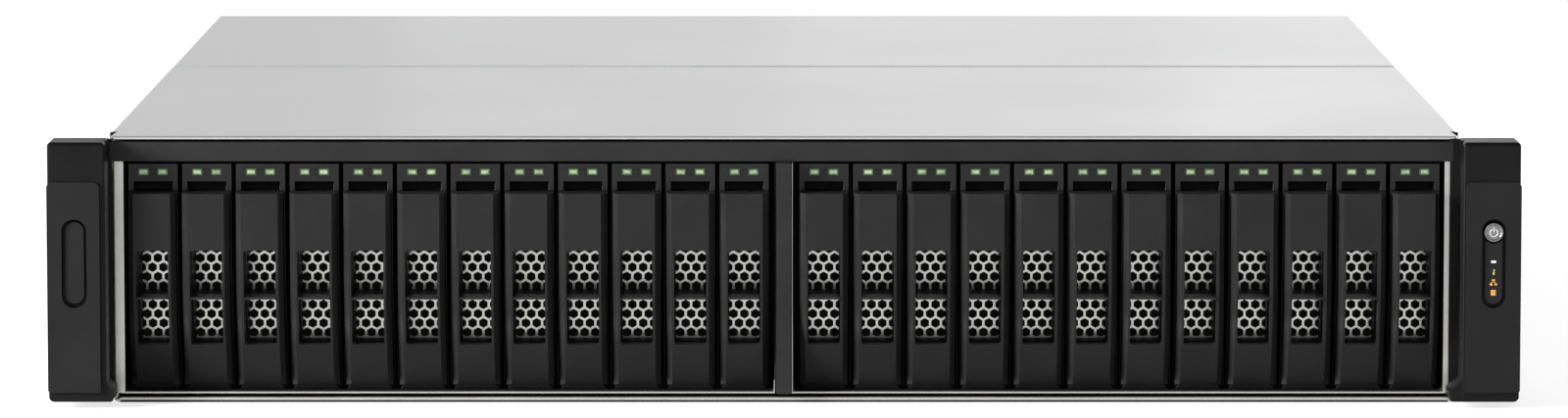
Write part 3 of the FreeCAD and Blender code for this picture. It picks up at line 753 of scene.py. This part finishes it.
# Darker copy of the ear plastic for the cap and the bracket; the extra darkness is painted shade.
shaded_cap_plastic = finish("black cap plastic", (0.0018, 0.0018, 0.0019), (0.0028, 0.0028, 0.003),
                     (0.05, 0.05, 0.05), smooth=0.36, rough=0.46, grain=2800, drift=50, bump=0.12,
                     wear=0.1, gloss=0.14)
ear_gloss = finish("glossy ear strip", (0.008, 0.008, 0.0085), (0.012, 0.012, 0.0125),
                   (0.04, 0.04, 0.04), smooth=0.1, rough=0.18, grain=1500, drift=40, bump=0.02,
                   wear=0.1, gloss=0.16)
ear_outside, ear_inside, ear_low, ear_top = 241.3, 222.3, 2.35, 87.9
cap_front, cap_back, web_top, web_slope = -19, -2.02, 11.5, 5.9
leg_outside, leg_low, leg_top, leg_end, shadow_tab_top = pan_half + 2, 16.35, 72.35, 46, 88.3
raised_front, raised_back, raised_low, raised_top = -20.4, -8, 5.5, 74.9
recess_x, recess_low, recess_top, plate_low, plate_top = 232.33, 33.5, 62.8, 34.8, 61.9
button_z, button_hole = 58.4, 3.7
for side, name, tongue_end, foot_end, panel_inside, recess_half, plate_half in (
        (-1, "left", 221.05, 220.0, 224.0, 4.1, 3.3), (1, "right", 219.2, 218.4, 223.2, 3.95, 2.8)):
    node = name + "_ear"
    flange = beside("flange", side, pan_half, ear_outside - 0.1, (-2, 2.6), (0, 86.9))
    cut(flange, beside("tool", side, 221, leg_outside, (-3, 77.2), (1, 90)))
    # The tab is painted shade, a dark piece where the cover's side flange lies in shadow.
    bracket = join("ear_bracket_" + name, [
        flange, beside("leg", side, pan_half, leg_outside, (0, leg_low), (leg_end, leg_top)),
        beside("tongue", side, tongue_end, 226, (-2.7, 5.6), (-2.03, 87.6)),
        beside("tab", side, pan_half, leg_outside, (13, leg_top - 0.05), (14.8, shadow_tab_top))])
    soften(bracket, 0.2, 1)
    # The bracket gets the cap's darker black: real black paint, darkened further as painted shade.
    fit(bracket, "chassis", "ear_plastic", shaded_cap_plastic, node)

    cap = beside("ear_cover_" + name, side, ear_inside, ear_outside - 0.2, (cap_front, ear_low),
                 (cap_back, ear_top))
    round_edges(cap, 1.8, 5,
                lambda at, edge: at.z < ear_low + 0.1 and side * at.x > ear_outside - 0.3)
    round_edges(cap, 0.7, 4, lambda at, edge: at.y < cap_front + 0.1 and 30 < at.z < 60
                and abs(at.x) > ear_inside - 0.1)
    round_edges(cap, 1.3, 4, lambda at, edge: at.z > ear_top - 0.1 and at.y < cap_back - 0.08)
    web = beside("web", side, foot_end, ear_inside + 2, (cap_front + 0.1, ear_low), (-3, web_top))
    choose(web, "VERT", lambda at, point: at.z > web_top - 0.5 and side * at.x < foot_end + 0.1)
    shift(0, 0, -web_slope)
    round_edges(web, 1.0, 4, lambda at, edge: at.z < ear_low + 0.1 and side * at.x < foot_end + 0.1)
    lid = beside("lid", side, ear_inside - 0.15, ear_inside + 4, (-11, 86.4),
                 (-2.75, ear_top - 0.05))
    raised = beside("ear_panel_" + name, side, panel_inside, ear_outside,
                    (raised_front, raised_low), (raised_back, raised_top))
    round_edges(raised, 1.8, 4, lambda at, edge: abs(at.y + 14) < 1 and at.z > raised_top - 0.9)
    round_edges(raised, 1.0, 4, lambda at, edge: abs(at.y + 14) < 1 and at.z < raised_low + 0.5
                and side * at.x > ear_outside - 0.3)
    round_edges(raised, 0.6, 4, lambda at, edge: at.y < raised_front + 0.1 and 20 < at.z < 60
                and side * at.x > ear_outside - 0.3)
    for part in (web, lid):
        apply(cap, "BOOLEAN", object=part, operation="UNION", solver="EXACT")
        bpy.data.objects.remove(part)
    apply(cap, "BOOLEAN", object=raised, operation="DIFFERENCE", solver="EXACT")
    cut(raised, obround("tool", side * recess_x, recess_half, recess_low, recess_top, -22, -17.2))
    plate = obround("ear_plate_" + name, side * recess_x, plate_half, plate_low, plate_top,
                    -19.3, -17)
    if side > 0:
        for part in (plate, raised):
            cut(part, rod("tool", button_hole, (recess_x, -22, button_z),
                          (recess_x, -12, button_z), 40))
    for part, width, material in ((cap, 0.3, shaded_cap_plastic), (raised, 0.3, ear_plastic),
                                  (plate, 0.35, ear_plastic if side < 0 else ear_gloss)):
        soften(part, width, 2)
        fit(part, "chassis", "ear_plastic", material, node)

# Power button: a turned metal cap with a bright rim and a plain ring-and-bar mark inlaid in grey.
# It is pushed through the top of the right ear's recess.
button_metal = finish("turned button metal", (0.18, 0.18, 0.18), (0.27, 0.27, 0.27),
                      (0.5, 0.5, 0.5), smooth=0.24, rough=0.36, grain=900, drift=200, bump=0.05,
                      wear=0.4, metal=0.95)
mark_grey = finish("grey mark", (0.62, 0.62, 0.62), (0.7, 0.7, 0.7), (0.8, 0.8, 0.8), smooth=0.3,
                   rough=0.4, grain=900, drift=200, bump=0.02, wear=0.0, metal=0.4)
button_radius, button_front, button_back, rim_width = 3.08, -19.7, -16, 0.55
button = rod("button_cap", button_radius, (recess_x, button_front, button_z),
             (recess_x, button_back, button_z), 48)
choose(button, "FACE", lambda at, face: face.normal.y < -0.5)
bpy.ops.mesh.inset(thickness=rim_width * mm)
bpy.ops.mesh.inset(thickness=0.15 * mm, depth=-0.25 * mm)
close()
soften(button, 0.12, 2)
fit(button, "power_button", "button_metal", button_metal, "power_button")


def hoop(name, radius, thick, x, y, z):
    """A ring of round wire about an axis that runs from front to back."""
    deselect()
    bpy.ops.mesh.primitive_torus_add(
        major_radius=radius * mm, minor_radius=thick * mm, major_segments=40, minor_segments=8,
        rotation=(math.pi / 2, 0, 0), location=(x * mm, y * mm, z * mm))
    return settle(bpy.context.object, name)


ring = hoop("ring", 1.25, 0.2, recess_x, -19.42, button_z - 0.15)
cut(ring, block("tool", (recess_x - 0.45, -21, button_z + 0.4),
                (recess_x + 0.45, -18, button_z + 2.4)))
bar = block("bar", (recess_x - 0.18, -19.6, button_z + 0.1),
            (recess_x + 0.18, -19.3, button_z + 1.7))
soften(bar, 0.06, 2)
mark = join("button_mark", [ring, bar])
fit(mark, "power_button", "button_metal", mark_grey, "power_button")

# Indicator marks: small lit windows in the glossy strip under the button, moulded into it. A plain
# white bar, a dot over a bar, three linked boxes and a stack of three discs, all generic signs.
white_light = glow("white mark", (0.7, 0.7, 0.68), 0.9)
green_light = glow("yellow green mark", (0.42, 0.5, 0.06), 0.9)
orange_light = glow("orange mark", (0.75, 0.33, 0.06), 0.7)
mark_front, mark_back, mark_raise = -19.42, -19.2, 0.9
marks = (("mark_white", white_light, [((-0.8, 47.4), (0.8, 48.2))]),
         ("mark_green", green_light, [((-0.2, 43.5), (0.35, 44.6)), ((-0.1, 44.85), (0.45, 45.3))]),
         ("mark_orange", orange_light,
          [((-0.5, 41.35), (0.5, 42.05)), ((-1.2, 40.0), (-0.3, 40.7)), ((0.3, 40.0), (1.2, 40.7)),
           ((-0.8, 40.95), (0.8, 41.1)), ((-0.8, 40.6), (-0.65, 41.0)),
           ((0.65, 40.6), (0.8, 41.0))]),
         ("mark_discs", orange_light, [((-0.85, z), (0.85, z + 0.5)) for z in (36.7, 37.35, 38.0)]))
for name, material, windows in marks:
    windows = [block("window", (recess_x + low[0], mark_front, low[1] + mark_raise),
                     (recess_x + high[0], mark_back, high[1] + mark_raise))
               for low, high in windows]
    piece = join(name, windows)
    soften(piece, 0.1, 2)
    fit(piece, "chassis", "ear_plastic", material, "right_ear")

# Power supplies: zinc-coated cases that slide in from the rear, each with a blower fan behind a
# round wire guard, a black inlet with three blades, a black pull handle and a dark red latch.
supply_steel = finish("supply case steel", (0.5, 0.5, 0.495), (0.58, 0.58, 0.575), (0.7, 0.7, 0.7),
                      smooth=0.34, rough=0.46, grain=900, drift=24, bump=0.06, wear=0.3, metal=0.9,
                      stretch=(1, 0.2, 1))
supply_black = finish("black supply plastic", (0.012, 0.012, 0.0125), (0.018, 0.018, 0.019),
                      (0.05, 0.05, 0.05), smooth=0.4, rough=0.55, grain=2400, drift=60, bump=0.15,
                      wear=0.3)
latch_plastic = finish("dark red latch plastic", (0.16, 0.012, 0.014), (0.22, 0.02, 0.02),
                       (0.4, 0.1, 0.1), smooth=0.35, rough=0.5, grain=1800, drift=60, bump=0.1,
                       wear=0.3)
inlet_offset, inlet_half, inlet_rise, blow_offset, blow_radius = 18, 13.5, 10, 18, 15
vanes, vane_tilt, vane_y = 7, 35, 484.6
guard_radii, guard_wire, stay_half = (4, 7.5, 11, 14.4), 0.55, 15.2
for number in (1, 2):
    node = "power_supply_%d" % number
    low, high = (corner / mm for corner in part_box(node))
    middle = (low.z + high.z) / 2
    inlet_x, blow_x = high.x - inlet_offset, low.x + blow_offset
    case = block("supply_case_%d" % number, low, (high.x, pan_rear, high.z))
    cut(case, block("tool", (inlet_x - inlet_half, 484, middle - inlet_rise),
                    (inlet_x + inlet_half, 500, middle + inlet_rise)))
    cut(case, rod("tool", blow_radius, (blow_x, 478, middle), (blow_x, 500, middle), 40))
    soften(case, 0.4, 2)
    fit(case, node, "supply_case", supply_steel, node)

    fan = [rod("hub", 6, (blow_x, 479, middle), (blow_x, 491, middle))]
    for turn in range(vanes):
        vane = block("vane", (blow_x - 4.2, vane_y - 0.6, middle + 5.5),
                     (blow_x + 4.2, vane_y + 0.6, middle + 14.2))
        for angle, axis in ((vane_tilt, "Z"), (360 / vanes * turn, "Y")):
            only(vane)
            bpy.ops.transform.rotate(value=math.radians(angle), orient_axis=axis,
                                     center_override=(blow_x * mm, vane_y * mm, middle * mm))
        fan.append(vane)
    fan = join("supply_fan_%d" % number, fan)
    soften(fan, 0.3, 2)
    fit(fan, node, "supply_case", supply_black, node)

    guard = [hoop("wire", radius, guard_wire, blow_x, 497.2, middle) for radius in guard_radii]
    for half_x, half_z in ((stay_half, 0.6), (0.6, stay_half)):
        guard.append(block("stay", (blow_x - half_x, 496.2, middle - half_z),
                           (blow_x + half_x, 497, middle + half_z)))
    guard = join("supply_guard_%d" % number, guard)
    shade(guard)
    fit(guard, node, "supply_case", supply_steel, node)

    socket = block("supply_inlet_%d" % number,
                   (inlet_x - inlet_half + 0.1, 486, middle - inlet_rise + 0.1),
                   (inlet_x + inlet_half - 0.1, pan_rear + 0.3, middle + inlet_rise - 0.1))
    hollow(socket, 1.8, 11)
    soften(socket, 0.4, 2)
    fit(socket, node, "supply_case", supply_black, node)
    blades = [block("blade", (inlet_x + dx - 1, 487, middle + dz - 2),
                    (inlet_x + dx + 1, 494, middle + dz + 2))
              for dx, dz in ((-7, -1.5), (0, 2), (7, -1.5))]
    blades = join("supply_blades_%d" % number, blades)
    soften(blades, 0.25, 2)
    fit(blades, node, "supply_case", button_metal, node)

    handle_x = (blow_x + blow_radius + inlet_x - inlet_half) / 2
    handle = block("supply_handle_%d" % number, (handle_x - 2, pan_rear - 0.1, middle - 15),
                   (handle_x + 2, high.y, middle + 15))
    cut(handle, block("tool", (handle_x - 5, 490, middle - 11),
                      (handle_x + 5, high.y - 4, middle + 11)))
    soften(handle, 0.8, 3)
    fit(handle, node, "supply_case", supply_black, node)
    latch = block("supply_latch_%d" % number, (inlet_x - 8, pan_rear - 0.1, middle - 17.5),
                  (inlet_x + 8, 504, middle - 12.5))
    choose(latch, "FACE", lambda at, face: face.normal.y > 0.5)
    bpy.ops.mesh.inset(thickness=1.2 * mm, depth=-1.0 * mm)
    close()
    soften(latch, 0.5, 2)
    fit(latch, node, "supply_case", latch_plastic, node)

# Top covers: two satin zinc-coated sheets, folded down along both sides and, in front, over the
# beam. The front corners are cut back to relieve the folds. They meet at a narrow cross seam.
cover_top, cover_front, cover_flange, cover_lip, cover_sheet = 88.45, -2, 11.0, 1.0, 0.9
front_half, corner_relief, corner_slant = 222.665, 2.0, 1.1
rear_top, rear_half, rear_sheet, seam_y, seam_width = 88.75, 222.265, 0.8, 266.0, 0.6
cover_steel = finish("satin cover steel", (0.66, 0.66, 0.67), (0.71, 0.71, 0.72), (0.8, 0.8, 0.8),
                     smooth=0.3, rough=0.4, grain=1500, drift=9, bump=0.05, wear=0.25, metal=0.92,
                     stretch=(1, 0.35, 1))
front = sheet("front_top_cover", (-front_half, cover_front, cover_top),
              (front_half, seam_y, cover_top))
relief_x = front_half - corner_relief
for place, normal in (((relief_x, 0, 0), (1, 0, 0)), ((-relief_x, 0, 0), (1, 0, 0)),
                      ((0, corner_back, 0), (0, 1, 0))):
    slice_faces(front, every, place, normal)
for side in (-1, 1):
    choose(front, "VERT", lambda at, point:
           (side * at.x > front_half - 0.1 and at.y < cover_front + 0.1)
           or (abs(side * at.x - relief_x) < 0.1 and abs(at.y - corner_back) < 0.1))
    bpy.ops.mesh.vert_connect()
choose(front, "FACE",
       lambda at, face: abs(at.x) > front_half - corner_relief / 2 and at.y < corner_back)
bpy.ops.mesh.delete(type="FACE")
for side in (-1, 1):
    choose(front, "VERT",
           lambda at, point: side * at.x > front_half - 0.1 and at.y < cover_front + 0.1)
    shift(-side * corner_slant, 0, 0)
choose(front, "EDGE", lambda at, edge: at.y < cover_front + 0.1 and abs(at.x) < 100)
push(0, 0, -cover_lip)
for side in (-1, 1):
    choose(front, "EDGE",
           lambda at, edge: side * at.x > front_half - 0.1 and at.y > corner_back + 1)
    push(0, 0, -cover_flange)
outward(front, (0, 0, 1))
round_edges(front, 0.7, 3, lambda at, edge: at.z > cover_top - 0.1 and len(edge.link_faces) == 2
            and (abs(at.x) > front_half - 0.1 or (at.y < cover_front + 0.1 and abs(at.x) < 100)))
rear = sheet("rear_top_cover", (-rear_half, seam_y + seam_width, rear_top),
             (rear_half, pan_rear, rear_top))
for side in (-1, 1):
    choose(rear, "EDGE", lambda at, edge: side * at.x > rear_half - 0.1)
    push(0, 0, -cover_flange)
outward(rear, (0, 0, 1))
round_edges(rear, 0.8, 3, lambda at, edge: at.z > rear_top - 0.1 and abs(at.x) > rear_half - 0.1)
for cover, wall, node in ((front, cover_sheet, "front_top_cover"),
                          (rear, rear_sheet, "rear_top_cover")):
    thicken(cover, wall)
    soften(cover, 0.12, 1)
    fit(cover, "chassis", "cover_steel", cover_steel, node)

# Screws: pan-head screws of bright zinc-plated steel with a pressed cross recess, driven into the
# covers' sides and the rear panel. All of them together are one piece.
screw_steel = finish("screw steel", (0.5, 0.5, 0.5), (0.6, 0.6, 0.6), (0.75, 0.75, 0.75),
                     smooth=0.22, rough=0.36, grain=900, drift=150, bump=0.05, wear=0.5,
                     metal=0.95)
screw = rod("screw", 2.2, (0, 0, -0.6), (0, 0, 1.1), 24)
choose(screw, "FACE", lambda at, face: face.normal.z > 0.5)
bpy.ops.mesh.inset(thickness=0.7 * mm)
shift(0, 0, 0.3)
close()
for half_x, half_y in ((1.3, 0.22), (0.22, 1.3)):
    cut(screw, block("tool", (-half_x, -half_y, 0.7), (half_x, half_y, 2)))
soften(screw, 0.1, 1)
heads = [twin(screw, "screw", (side * 222.6, y, 82.5), Matrix.Rotation(side * math.pi / 2, 4, "Y"))
         for side in (-1, 1) for y in (60, 205, 320, 440)]
heads += [twin(screw, "screw", (x, pan_rear, z), Matrix.Rotation(-math.pi / 2, 4, "X"))
          for x in (-132, 0, 150, 212) for z in (8, 80)]
bpy.data.objects.remove(screw)
heads = join("case_screws", heads)
fit(heads, "chassis", "galvanised_steel", screw_steel)

# Studio: a plain pale floor, a soft white surround and large soft lights. The floor shines for the
# camera and, less in steep views, for reflections. The camera stands 2.5 m in front of the unit, a
# little above it, with a long lens.
floor_reach, floor_shine, steep_shine, steep, flat = 9000, 0.72, 0.05, 0.1, 0.65
floor = sheet("studio_floor", (-floor_reach, -floor_reach, 0), (floor_reach, floor_reach, 0))
pale = finish("pale floor", (0.5, 0.5, 0.5), (0.52, 0.52, 0.52), (0.55, 0.55, 0.55), smooth=0.7,
              rough=0.8, grain=40, drift=2, bump=0.0, wear=0.0)
nodes, shader, _ = opened(pale)
shader.inputs["Emission Color"].default_value = (floor_shine, floor_shine, floor_shine, 1)
ray, slant = nodes.new("ShaderNodeLightPath"), nodes.new("ShaderNodeLayerWeight")
fall, mirrored = ramp(nodes, steep, flat, steep_shine), maths(nodes, "MULTIPLY")
seen = maths(nodes, "ADD")
wire(slant, "Facing", fall, "Value")
wire(fall, "Result", mirrored, 0)
wire(ray, "Is Glossy Ray", mirrored, 1)
wire(mirrored, 0, seen, 0)
wire(ray, "Is Camera Ray", seen, 1)
wire(seen, 0, shader, "Emission Strength")
floor.data.materials.append(pale)

horizon, zenith = 0.62, 0.26
world = bpy.data.worlds.new("studio")
world.use_nodes = True
nodes = world.node_tree.nodes
sky = nodes["Background"]
sky.inputs["Color"].default_value = (1, 1, 1, 1)
way, split = nodes.new("ShaderNodeTexCoord"), nodes.new("ShaderNodeSeparateXYZ")
fade = ramp(nodes, 0.0, 1.0, horizon, zenith)
wire(way, "Generated", split, 0)
wire(split, "Z", fade, "Value")
wire(fade, "Result", sky, "Strength")
bpy.context.scene.world = world
lamps = [("left softbox", (-2.92, -1.65, 1.1), (0, 0, 0.04), (1.2, 1.0), 250),
         ("front softbox", (0, -2.7, 0.8), (0, 0, 0.04), (0.8, 0.5), 11)]
for number, x, width, power in ((1, -0.88, 1.4, 0.7), (2, -0.09, 0.18, 0.144),
                                (3, 0.09, 0.18, 0.198), (4, 0.88, 1.4, 1.97)):
    lamps.append(("rear panel %d" % number, (x, 1.0, 0.4), (x, 0, 0.4), (width, 0.8), power))
for name, place, aim, size, power in lamps:
    bpy.ops.object.light_add(type="AREA", location=place)
    lamp = bpy.context.object
    lamp.name = name
    lamp.visible_camera = False
    lamp.visible_glossy = name != "front softbox"
    lamp.data.shape = "RECTANGLE"
    lamp.data.size, lamp.data.size_y = size
    lamp.data.energy = power
    lamp.rotation_euler = (Vector(aim) - lamp.location).to_track_quat("-Z", "Z").to_euler()
bpy.ops.object.camera_add(location=(0, -2.5194, 0.3265), rotation=(math.radians(84.054), 0, 0))
camera = bpy.context.object
camera.data.lens = 176.4
camera.data.sensor_width = 36
bpy.context.scene.camera = camera
bpy.context.scene.view_settings.view_transform = "Standard"
